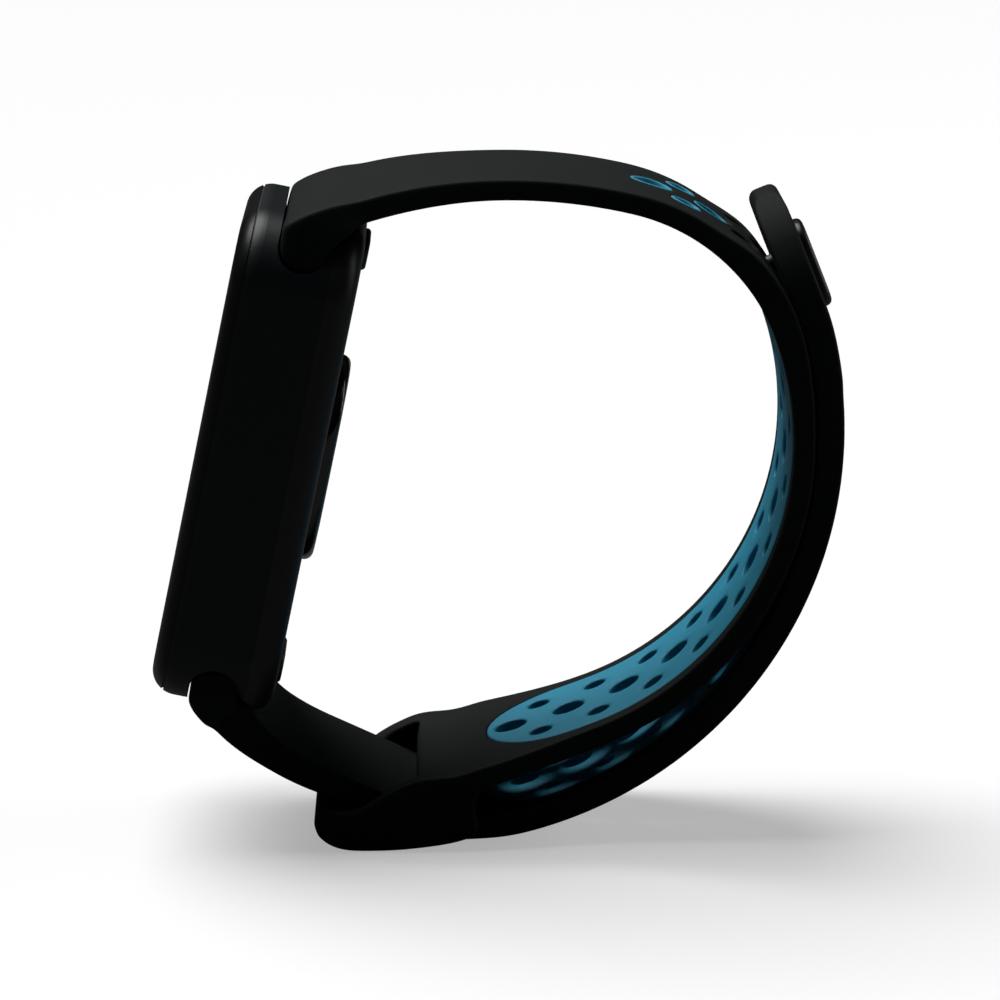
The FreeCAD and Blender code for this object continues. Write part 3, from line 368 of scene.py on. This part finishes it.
def liner_sheet(first, last, half, places, wrist_face, embedded_face, far_face):
    """A liner with rounded edges and a sleeve through the strap at every hole.

    The three faces are distances off the strap line: the face on the wrist, the one that lies in the
    strap, and the strap's far face, where the sleeves end.
    """
    out = math.copysign(1.0, wrist_face - embedded_face)
    sheet = FlatSheet()
    corner = half - CORNER_SHORT
    borders = [sheet.ring(rounded_strip(first, last, half, corner, inset), wrist_face - out * drop)
               for inset, drop in RIM]
    back_border = sheet.ring(rounded_strip(first, last, half, corner, 0), embedded_face)
    openings, back_openings = [], []
    for s, t, radius in places:
        rims = [sheet.ring(circle(s, t, radius + inset, CIRCLE_STEPS), wrist_face - out * drop)
                for inset, drop in RIM]
        mouth = far_face - out * MOUTH_INSET
        wall_radius = radius + SLEEVE_WALL
        profile = [(radius, mouth + out * 0.12), (radius + MOUTH_ROUND, mouth + out * 0.03),
                   (radius + SLEEVE_WALL / 2, mouth),
                   (wall_radius - MOUTH_ROUND, mouth + out * 0.03), (wall_radius, mouth + out * 0.12),
                   (wall_radius, embedded_face)]
        sleeve = [sheet.ring(circle(s, t, r, CIRCLE_STEPS), off) for r, off in profile]
        sheet.bridge([rims[-1], rims[-2], rims[-3], rims[0], *sleeve])
        openings.append(rims[-1])
        back_openings.append(sleeve[-1])
    sheet.bridge([back_border, *borders])
    grid = grid_points(first, last, half, places)
    sheet.skin(borders[-1], openings, grid, wrist_face)
    sheet.skin(back_border, back_openings, grid, embedded_face)
    return sheet


def grid_points(first, last, half, places):
    """Points of a square grid that keep clear of the strip's border and of the holes."""
    kept = []
    for i in range(round((last - first) / GRID_STEP) + 1):
        for j in range(round(2 * half / GRID_STEP) + 1):
            s, t = first + i * GRID_STEP, -half + j * GRID_STEP
            nearest_end = min(max(s, first + half), last - half)
            if math.hypot(s - nearest_end, t) > half - BORDER_CLEARANCE:
                continue
            if any(math.hypot(s - a, t - b) < r + SLEEVE_WALL + HOLE_CLEARANCE for a, b, r in places):
                continue
            kept.append((s, t))
    return kept


def recess_tool(line, first, last, half, low, high):
    """A plain strip that cuts the liner's seat."""
    sheet = FlatSheet()
    corner = half - CORNER_SHORT
    outline = rounded_strip(first, last, half, corner, 0)
    ends = [sheet.ring(outline, off) for off in (low, high)]
    sheet.bridge(ends)
    grid = grid_points(first, last, half, [])
    for ring, off in zip(ends, (low, high)):
        sheet.skin(ring, [], grid, off)
    return make_piece("recess_tool", sheet.placed(line), sheet.faces, None)


def hole_tools(line, places, low, high):
    """One mesh of all the rods that cut the holes for the sleeves."""
    sheet = FlatSheet()
    for s, t, radius in places:
        outline = circle(s, t, radius + SLEEVE_WALL - SEAT_OVERLAP, CIRCLE_STEPS)
        rings = [sheet.ring(outline, off) for off in (low, high)]
        sheet.bridge(rings)
        sheet.faces.append(rings[0])
        sheet.faces.append(rings[1][::-1])
    return make_piece("hole_tool", sheet.placed(line), sheet.faces, None)


# ---------------------------------------------------------------- strap stations

OUTER_EDGE, INNER_EDGE = 0.6, 0.45
CROWN = 0.1
CORNER_STEP, MIDDLE_COLUMN = 0.4, 3.0


def station(rim, middle, half, window_half, outer_edge=OUTER_EDGE):
    """Cage points across the strap. rim and middle are (outer, inner) layout points.

    The columns beyond window_half follow rim and the ones within it follow middle. The outer face falls by
    CROWN towards the strap's edges.
    """
    inside = [window_half, window_half - CORNER_STEP, MIDDLE_COLUMN]
    outer_columns = [half, half - outer_edge, *inside]
    inner_columns = [half, half - INNER_EDGE, *inside]
    row = []
    for sign, order in ((-1, range(5)), (1, range(4, -1, -1))):
        for k in order:
            outer, inner = (rim, rim, rim, middle, middle)[k]
            fall = CROWN / math.dist(outer, inner) * (outer_columns[k] / half) ** 2
            outer = [blend_between(outer[axis], inner[axis], fall) for axis in (0, 1)]
            row.append((row_point(*outer, sign * outer_columns[k]),
                        row_point(*inner, sign * inner_columns[k]), outer_edge * MM, INNER_EDGE * MM))
    return row


def in_slot(end):
    """(outer, inner) points of the root in a slot, narrower at the floor and as wide as the mouth."""
    floor = CASE_HALF_LENGTH - SLOT_DEPTH
    pairs = [
        ((-0.9, floor + 0.05), (1.3, floor + 0.05)),
        ((SLOT_FRONT + 0.12, floor + 0.8), (SLOT_BACK - 0.12, floor + 0.8)),
        ((SLOT_FRONT, floor + 2.0), (SLOT_BACK, floor + 1.9)),
    ]
    return [tuple(layout_of_tracker(x, end * z) for x, z in pair) for pair in pairs]


# ---------------------------------------------------------------- materials

def new_material(name):
    material = bpy.data.materials.new(name)
    material.use_nodes = True
    nodes, links = material.node_tree.nodes, material.node_tree.links
    return material, nodes, links, nodes["Principled BSDF"]


def moulded(name, colour, roughness, grain=0.02, grain_size=0.12, tone=0.15, coat=0.0,
            specular=0.5, metallic=0.0):
    """Moulded or finished surface: a fine grain in bump and roughness, and a faint cloudiness in colour."""
    material, nodes, links, shader = new_material(name)
    where = nodes.new("ShaderNodeTexCoord")
    cloud = nodes.new("ShaderNodeTexNoise")
    cloud.inputs["Scale"].default_value = 180.0
    cloud.inputs["Detail"].default_value = 3.0
    fine = nodes.new("ShaderNodeTexNoise")
    fine.inputs["Scale"].default_value = 1.0 / (grain_size * MM)
    fine.inputs["Detail"].default_value = 4.0
    for texture in (cloud, fine):
        links.new(where.outputs["Object"], texture.inputs["Vector"])
    tint = nodes.new("ShaderNodeMix")
    tint.data_type = "RGBA"
    tint.inputs[6].default_value = (*[c * (1 - tone) for c in colour], 1)
    tint.inputs[7].default_value = (*[min(1.0, c * (1 + tone)) for c in colour], 1)
    links.new(cloud.outputs["Fac"], tint.inputs[0])
    links.new(tint.outputs[2], shader.inputs["Base Color"])
    rough = nodes.new("ShaderNodeMapRange")
    rough.inputs["To Min"].default_value = max(0.02, roughness - 0.07)
    rough.inputs["To Max"].default_value = min(1.0, roughness + 0.07)
    links.new(fine.outputs["Fac"], rough.inputs["Value"])
    links.new(rough.outputs["Result"], shader.inputs["Roughness"])
    bump = nodes.new("ShaderNodeBump")
    bump.inputs["Strength"].default_value = 0.35
    bump.inputs["Distance"].default_value = grain * MM
    links.new(fine.outputs["Fac"], bump.inputs["Height"])
    links.new(bump.outputs["Normal"], shader.inputs["Normal"])
    shader.inputs["Metallic"].default_value = metallic
    shader.inputs["Coat Weight"].default_value = coat
    shader.inputs["Coat Roughness"].default_value = 0.08
    shader.inputs["Specular IOR Level"].default_value = specular
    return material


silicone = moulded("black_silicone", (0.0058, 0.0082, 0.0080), 0.72, grain=0.03, specular=0.12)
liner_silicone = moulded("blue_silicone", (0.022, 0.28, 0.43), 0.6, grain=0.02, tone=0.06, specular=0.3)
case_finish = moulded("case_finish", (0.004, 0.0065, 0.008), 0.42, grain=0.008, grain_size=0.06,
                      specular=0.28)
cover_finish = moulded("cover_finish", (0.006, 0.007, 0.0075), 0.42, grain=0.012, specular=0.4)
gloss_black = moulded("gloss_black", (0.004, 0.0045, 0.005), 0.16, grain=0.002, coat=0.5)
glass_black = moulded("glass_black", (0.004, 0.0045, 0.005), 0.34, grain=0.001, specular=0.2)
button_finish = moulded("button_finish", (0.016, 0.017, 0.018), 0.4, grain=0.012)
closure_finish = moulded("closure_finish", (0.004, 0.0045, 0.005), 0.38, grain=0.01, specular=0.35)
steel = moulded("steel", (0.55, 0.55, 0.55), 0.3, grain=0.006, metallic=1.0)
tungsten = moulded("sintered_metal", (0.30, 0.30, 0.31), 0.45, grain=0.02, metallic=1.0)
gold = moulded("gold_plating", (0.80, 0.58, 0.27), 0.25, grain=0.004, metallic=1.0)
solder_mask = moulded("solder_mask", (0.015, 0.10, 0.05), 0.35, grain=0.01)
chip_resin = moulded("chip_resin", (0.02, 0.02, 0.022), 0.5, grain=0.02)
flex_film = moulded("flex_film", (0.45, 0.22, 0.05), 0.35, grain=0.01)
battery_foil = moulded("battery_foil", (0.55, 0.55, 0.57), 0.35, grain=0.03, metallic=0.9)
tape = moulded("tape", (0.03, 0.03, 0.03), 0.7, grain=0.02)
emitter_resin = moulded("emitter_resin", (0.45, 0.75, 0.45), 0.2, grain=0.004, coat=0.3)
dull_black = moulded("dull_black", (0.01, 0.01, 0.01), 0.6, grain=0.02)


def finish_cad_nodes():
    """Gives its material to every CAD node that no visual piece replaces."""
    finishes = {
        glass_black: ["front_glass"],
        case_finish: ["case_frame"],
        cover_finish: ["back_cover"],
        gloss_black: ["sensor_window", "display_panel"],
        button_finish: ["upper_release_button", "lower_release_button"],
        tape: ["glass_adhesive_ring", "battery_adhesive_pad", "back_cover_seal"],
        flex_film: ["display_flex_cable", "sensor_flex_cable", "battery_lead"],
        solder_mask: ["main_board", "sensor_board"],
        chip_resin: ["processor_chip", "memory_chip", "power_chip", "motion_sensor_chip",
                     "bluetooth_antenna", "photodiodes"],
        battery_foil: ["battery_cell"],
        emitter_resin: ["sensor_leds"],
        dull_black: ["sensor_barrier", "contact_insulator"],
        tungsten: ["vibration_motor_rotor"],
        gold: ["charging_contacts"],
        steel: ["display_bracket", "board_screws", "vibration_motor_can", "vibration_motor_shaft",
                "upper_latch_spring", "lower_latch_spring", "upper_strap_core_bar",
                "lower_strap_core_bar"],
    }
    for material, names in finishes.items():
        for name in names:
            mesh = frame["nodes"][name].data
            mesh.materials.clear()
            mesh.materials.append(material)


# ---------------------------------------------------------------- upper strap

UPPER_HOLES = hole_places(24.3, 13)
UPPER_LINER = (upper_line.starts[1], upper_line.starts[6])
ROOT_EDGE = 1.3
UPPER_FLARE = 18.0
FLARE_END = 20.0
BAND_STEP = 1.0
# The loop starts LOOP_LEAD before the line's end, and the strap widens to it over LOOP_FLARE.
LOOP_LEAD, LOOP_FLARE_FROM_END, LOOP_FLARE, LOOP_EDGE = 5.5, 16, 12, 1.0
UPPER_WINDOW_COLUMN, LOWER_WINDOW_COLUMN = 7.0, 6.6
WINDOW_CELLS = range(2, 7)       # the cage's cells between the rails of the loop


def upper_band_pair(distance):
    """(outer, inner) points of the band, thicker where the closure presses on it and at the tracker.

    The pressed stretch runs from 29 to 49 mm along the line.
    """
    pressed = ramp(distance, 29, 5) * (1 - ramp(distance, 37, 12))
    extra = 0.6 * pressed + 0.2 * (1 - ramp(distance, 0, 12))
    return upper_line.point(distance, UPPER_THICKNESS + extra), upper_line.point(distance)


def upper_half_width(across):
    """The strap narrows from the tracker to the crown."""
    return blend_between(ROOT_WIDTH / 2, UPPER_WIDTH / 2, ramp(across, -UPPER_FLARE, UPPER_FLARE))


def upper_strap_stations():
    """Stations from the slot to the loop's far rail, and the cells left open for the loop's window."""
    # outer and inner points from the slot's mouth to the start of the strap line
    brow = [
        ((-18.3, 26.0), (-14.0, 24.15)),
        ((-17.8, 26.35), (-13.4, 24.65)),
        ((-16.8, 26.9), (-12.8, 25.1)),
        ((-15.4, 27.4), (-12.3, 25.5)),
        ((-13.85, 27.85), (-11.9, 25.8)),
    ]
    rows = []
    roots = in_slot(1) + brow
    for index, pair in enumerate(roots):
        edge = blend_between(ROOT_EDGE, OUTER_EDGE, ramp(index, 2, len(roots) - 2))
        rows.append(station(pair, pair, upper_half_width(pair[0][0]), UPPER_WINDOW_COLUMN, edge))
    distance = 0.0
    while distance < upper_line.length - LOOP_LEAD:
        pair = upper_band_pair(distance)
        across = pair[0][0] if distance < FLARE_END else 0.0
        loop_share = ramp(distance, upper_line.length - LOOP_FLARE_FROM_END, LOOP_FLARE)
        half = blend_between(upper_half_width(across), LOOP_WIDTH / 2, loop_share)
        window_half = blend_between(UPPER_WINDOW_COLUMN, LOOP_WINDOW / 2, loop_share)
        rows.append(station(pair, pair, half, window_half))
        distance += BAND_STEP
    window_start = len(rows) + 2
    loop = [
        # rim outer, rim inner, middle outer, middle inner
        ((-2.4, -24.2), (-3.9, -21.9), (-3.6, -23.95), (-4.0, -22.1)),
        ((-2.2, -25.8), (-5.6, -22.0), (-5.9, -24.3), (-5.9, -22.4)),
        ((-1.7, -27.35), (-7.2, -22.15), (-7.4, -24.5), (-7.3, -22.8)),
        ((-4.3, -28.1), (-8.9, -22.9), (-7.6, -27.9), (-8.9, -23.5)),
        ((-6.9, -28.45), (-10.6, -23.8), (-8.9, -28.6), (-9.3, -27.3)),
        ((-9.0, -28.65), (-12.1, -25.0), (-10.2, -28.65), (-11.2, -26.5)),
        ((-11.2, -28.7), (-13.8, -25.3), (-11.9, -28.7), (-13.6, -25.4)),
        ((-13.8, -28.7), (-15.3, -24.8), (-13.8, -28.7), (-15.3, -24.7)),
        ((-15.3, -27.9), (-16.15, -25.3), (-15.3, -27.9), (-16.15, -25.3)),
        ((-15.9, -27.1), (-16.15, -26.2), (-15.9, -27.1), (-16.15, -26.2)),
    ]
    for rim_outer, rim_inner, middle_outer, middle_inner in loop:
        rows.append(station((rim_outer, rim_inner), (middle_outer, middle_inner), LOOP_WIDTH / 2,
                            LOOP_WINDOW / 2, LOOP_EDGE))
    open_cells = {(i, j) for i in (window_start, window_start + 1) for j in WINDOW_CELLS}
    return rows, open_cells


def make_upper_strap():
    """The upper strap's silicone with its loop, cut for the blue liner, and the liner."""
    rows, open_cells = upper_strap_stations()
    vertices, faces = plate(rows, open_cells)
    strap = make_piece("upper_strap_silicone", vertices, faces, silicone)
    subdivide(strap)
    first, last = UPPER_LINER
    half = UPPER_WIDTH / 2 - LINER_MARGIN
    cut_out(strap, recess_tool(upper_line, first - SEAT_GAP, last + SEAT_GAP, half + SEAT_GAP,
                               -CUT_MARGIN, LINER_DEPTH))
    cut_out(strap, hole_tools(upper_line, UPPER_HOLES, -CUT_MARGIN, UPPER_THICKNESS + CUT_MARGIN))
    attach(strap, "band")
    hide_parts("upper_strap")
    sheet = liner_sheet(first, last, half, UPPER_HOLES, -LINER_PROUD, LINER_DEPTH - SEAT_OVERLAP,
                        UPPER_THICKNESS)
    make_piece("upper_strap_blue_liner", sheet.placed(upper_line), sheet.faces, liner_silicone,
               "band", ["upper_strap_liner"])


# ---------------------------------------------------------------- lower strap

LOWER_LINER = (lower_line.starts[4], lower_line.starts[6])
LOWER_HOLES = hole_places(LOWER_LINER[0] + 4.3, 9)
TIP_ROUND = 1.6
FIRST_STATION, FINE_LENGTH, FINE_STEP, END_HALF_WIDTH = 0.4, 4, 0.5, 2.2
BEND_BEFORE, BEND_AFTER = 1.5, 3.0


def lower_band_pair(distance):
    """(outer, inner) points of the band.

    It is thicker on both faces at the tracker, a little thicker past the hinge, and rounded off at the tip.
    """
    extra = 0.6 * (1 - ramp(distance, 0, 6)) + 0.3 * ramp(distance, hinge_distance, 6)
    belly = 0.4 * (1 - ramp(distance, 4, 12)) + 0.35 * (1 - ramp(distance, 1, 6))
    into_end = max(0.0, distance - (lower_line.length - TIP_ROUND)) / TIP_ROUND
    thinner = (1 - math.sqrt(1 - min(1.0, into_end) ** 2)) * LOWER_THICKNESS * 0.5
    return (lower_line.point(distance, thinner - belly),
            lower_line.point(distance, LOWER_THICKNESS + extra - thinner))


def tip_half_width(distance):
    """The strap's half width, which closes to a round end at the tip."""
    half = LOWER_WIDTH / 2
    into_end = distance - (lower_line.length - half)
    if into_end <= 0:
        return half
    return half * math.sqrt(max(0.0, 1 - (into_end / half) ** 2))


def lower_half_width(distance):
    """The strap narrows quickly as it leaves the tracker."""
    return blend_between(ROOT_WIDTH / 2, LOWER_WIDTH / 2, ramp(distance, -5, 14))


def lower_strap_stations():
    """Stations from the slot to the round end of the tip."""
    # distance, outer and inner points from the slot's mouth to the start of the strap line
    brow = [
        (-3.4, (-26.85, -14.5), (-22.75, -14.7)),
        (-2.5, (-26.72, -15.35), (-22.65, -15.0)),
        (-1.6, (-26.1, -16.35), (-22.5, -15.25)),
        (-0.8, (-25.4, -17.25), (-22.3, -15.5)),
    ]
    rows = [station(pair, pair, ROOT_WIDTH / 2, LOWER_WINDOW_COLUMN) for pair in in_slot(-1)]
    for distance, *pair in brow:
        rows.append(station(pair, pair, lower_half_width(distance), LOWER_WINDOW_COLUMN))
    distance = FIRST_STATION
    while distance < lower_line.length:
        half = min(lower_half_width(distance), max(END_HALF_WIDTH, tip_half_width(distance)))
        pair = lower_band_pair(distance)
        if distance > lower_line.length - LOWER_WIDTH:
            rows.append(narrow_station(pair, half))
        else:
            rows.append(station(pair, pair, half, LOWER_WINDOW_COLUMN))
        distance += BAND_STEP if distance < lower_line.length - FINE_LENGTH else FINE_STEP
    return rows


def narrow_station(pair, half):
    """A station whose columns share out a narrow width."""
    outer, inner = pair
    shares = (-1, -0.9, -0.785, -0.6, -0.3, 0.3, 0.6, 0.785, 0.9, 1)
    return [(row_point(*outer, share * half), row_point(*inner, share * half),
             OUTER_EDGE * MM, INNER_EDGE * MM) for share in shares]


def make_lower_strap():
    """The lower strap's silicone and its blue liner."""
    vertices, faces = plate(lower_strap_stations(), set())
    strap = make_piece("lower_strap_silicone", vertices, faces, silicone)
    subdivide(strap)
    first, last = LOWER_LINER
    half = LOWER_WIDTH / 2 - LINER_MARGIN
    seat = LOWER_THICKNESS - LINER_DEPTH
    cut_out(strap, recess_tool(lower_line, first - SEAT_GAP, last + SEAT_GAP, half + SEAT_GAP,
                               seat, LOWER_THICKNESS + CUT_MARGIN))
    cut_out(strap, hole_tools(lower_line, LOWER_HOLES, -CUT_MARGIN, LOWER_THICKNESS + CUT_MARGIN))
    bend_start = row_point(*lower_line.point(hinge_distance - BEND_BEFORE, LOWER_THICKNESS / 2))
    bend_end = row_point(*lower_line.point(hinge_distance + BEND_AFTER, LOWER_THICKNESS / 2))
    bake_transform(strap)
    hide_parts("lower_strap", "strap_tip")
    sheet = liner_sheet(first, last, half, LOWER_HOLES, LOWER_THICKNESS + LINER_PROUD,
                        seat + SEAT_OVERLAP, 0.0)
    make_piece("lower_strap_blue_liner", sheet.placed(lower_line), sheet.faces, liner_silicone,
               "band", ["lower_strap_liner"])


def make_closure():
    """The oblong plate on the outside of the tip and the peg on its wrist side."""
    middle = lower_line.length - PLATE_FROM_END
    first, last = middle - PLATE_LENGTH / 2, middle + PLATE_LENGTH / 2
    # (inset, off) from inside the strap to the plate's face
    profile = [(0.0, 0.5), (0.0, 0.5 - PLATE_PROUD), (0.05, 0.3 - PLATE_PROUD), (0.2, 0.1 - PLATE_PROUD),
               (0.42, -PLATE_PROUD)]
    outlines = [(rounded_strip(first, last, PLATE_WIDTH / 2, PLATE_CORNER, inset), off)
                for inset, off in profile]
    make_closure_piece("closure_plate", outlines)
    place = lower_line.length - PEG_FROM_END
    reach = LOWER_THICKNESS + PEG_LENGTH
    # (radius, off) from inside the strap to the peg's end
    profile = [(PEG_RADIUS, 1.0), (PEG_RADIUS, LOWER_THICKNESS), (PEG_END_RADIUS + 0.05, reach - 0.3),
               (PEG_END_RADIUS, reach - 0.12), (PEG_END_RADIUS - 0.15, reach)]
    outlines = [(circle(place, 0, radius, CIRCLE_STEPS), off) for radius, off in profile]
    make_closure_piece("closure_peg", outlines)


def make_closure_piece(name, outlines):
    """A solid between stacked outlines, each a list of points and a height."""
    sheet = FlatSheet()
    rings = [sheet.ring(points, off) for points, off in outlines]
    sheet.bridge(rings)
    sheet.faces += [rings[0], rings[-1]]
    make_piece(name, sheet.placed(lower_line), sheet.faces, closure_finish,
               "strap_tip", ["closure_stud"])


# ---------------------------------------------------------------- stage, light and camera

FLOOR_HALF_SIDE, FLOOR_DROP = 1.5, 0.00005
FLOOR_GLOW, FLOOR_DIM = 0.4, 0.10
SKY_LOW, SKY_HIGH = (0.15, 0.03), (0.9, 0.5)    # (height in the sky, strength)
SUN_ENERGY, SUN_ANGLE, SUN_DIRECTION = 3.6, 50, (-0.35, 0.3, 1.0)
PANEL_OFFSET, PANEL_SIZE, PANEL_POWER = (0.5, 0.1, 0.15), (0.3, 0.4), 0.8
CAMERA_LENS, CAMERA_ELEVATION, CAMERA_AZIMUTH, CAMERA_DISTANCE = 147.6, 13.0, -1.0, 0.3567


def make_floor():
    """A pale floor that looks brighter to the camera than it shines on the band."""
    material, nodes, links, shader = new_material("pale_floor")
    shader.inputs["Base Color"].default_value = (0.92, 0.92, 0.92, 1)
    shader.inputs["Roughness"].default_value = 0.85
    dim = nodes.new("ShaderNodeBsdfDiffuse")
    dim.inputs["Color"].default_value = (FLOOR_DIM, FLOOR_DIM, FLOOR_DIM, 1)
    path = nodes.new("ShaderNodeLightPath")
    choose = nodes.new("ShaderNodeMixShader")
    links.new(path.outputs["Is Camera Ray"], choose.inputs["Fac"])
    links.new(dim.outputs[0], choose.inputs[1])
    glow = nodes.new("ShaderNodeEmission")
    lifted = nodes.new("ShaderNodeMixShader")
    lifted.inputs["Fac"].default_value = FLOOR_GLOW
    links.new(shader.outputs[0], lifted.inputs[1])
    links.new(glow.outputs[0], lifted.inputs[2])
    links.new(lifted.outputs[0], choose.inputs[2])
    links.new(choose.outputs[0], nodes["Material Output"].inputs["Surface"])
    mesh = bpy.data.meshes.new("floor")
    side = FLOOR_HALF_SIDE
    level = cad_box[0].z - FLOOR_DROP
    mesh.from_pydata([(-side, -side, level), (side, -side, level), (side, side, level), (-side, side, level)],
                     [], [(0, 1, 2, 3)])
    mesh.materials.append(material)
    floor = bpy.data.objects.new("floor", mesh)
    bpy.context.scene.collection.objects.link(floor)


def add_area_light(name, place, target, size, power):
    """A rectangular light at a place, facing the target."""
    data = bpy.data.lights.new(name, "AREA")
    data.shape = "RECTANGLE"
    data.size, data.size_y = size
    data.energy = power
    light = bpy.data.objects.new(name, data)
    bpy.context.scene.collection.objects.link(light)
    light.location = place
    light.rotation_mode = "QUATERNION"
    light.rotation_quaternion = (Vector(place) - Vector(target)).to_track_quat("Z", "Y")


def make_world():
    """White to the camera; to the object, a soft light that grows with the height in the sky."""
    world = bpy.data.worlds.new("studio")
    world.use_nodes = True
    bpy.context.scene.world = world
    nodes, links = world.node_tree.nodes, world.node_tree.links
    background = nodes["Background"]
    seen = nodes.new("ShaderNodeBackground")
    seen.inputs["Color"].default_value = (1, 1, 1, 1)
    where = nodes.new("ShaderNodeTexCoord")
    split = nodes.new("ShaderNodeSeparateXYZ")
    links.new(where.outputs["Generated"], split.inputs[0])
    height = nodes.new("ShaderNodeMapRange")
    for end, (place, strength) in (("Min", SKY_LOW), ("Max", SKY_HIGH)):
        height.inputs["From " + end].default_value = place
        height.inputs["To " + end].default_value = strength
    links.new(split.outputs["Z"], height.inputs["Value"])
    links.new(height.outputs["Result"], background.inputs["Strength"])
    path = nodes.new("ShaderNodeLightPath")
    choose = nodes.new("ShaderNodeMixShader")
    links.new(path.outputs["Is Camera Ray"], choose.inputs["Fac"])
    links.new(background.outputs[0], choose.inputs[1])
    links.new(seen.outputs[0], choose.inputs[2])
    links.new(choose.outputs[0], nodes["World Output"].inputs["Surface"])


def make_lights():
    """One broad soft sun from above and a weak panel at the right."""
    data = bpy.data.lights.new("soft_sun", "SUN")
    data.energy = SUN_ENERGY
    data.angle = math.radians(SUN_ANGLE)
    sun = bpy.data.objects.new("soft_sun", data)
    bpy.context.scene.collection.objects.link(sun)
    sun.rotation_mode = "QUATERNION"
    sun.rotation_quaternion = Vector(SUN_DIRECTION).to_track_quat("Z", "Y")
    centre = (cad_box[0] + cad_box[1]) / 2
    add_area_light("right_light", centre + Vector(PANEL_OFFSET), centre, PANEL_SIZE, PANEL_POWER)


def make_camera():
    """A long lens from a little above, square to the side of the band."""
    data = bpy.data.cameras.new("camera")
    data.sensor_width = 36.0
    data.lens = CAMERA_LENS
    camera = bpy.data.objects.new("camera", data)
    bpy.context.scene.collection.objects.link(camera)
    bpy.context.scene.camera = camera
    elevation, azimuth = math.radians(CAMERA_ELEVATION), math.radians(CAMERA_AZIMUTH)
    target = row_point(0, 0)
    back = Vector((math.sin(azimuth) * math.cos(elevation), -math.cos(azimuth) * math.cos(elevation),
                   math.sin(elevation)))
    camera.location = target + back * CAMERA_DISTANCE
    camera.rotation_mode = "QUATERNION"
    camera.rotation_quaternion = back.to_track_quat("Z", "Y")
    data.clip_start, data.clip_end = 0.01, 10.0


finish_cad_nodes()
make_upper_strap()
make_lower_strap()
make_closure()
make_floor()
make_world()
make_lights()
make_camera()
bpy.context.scene.view_settings.view_transform = "Standard"
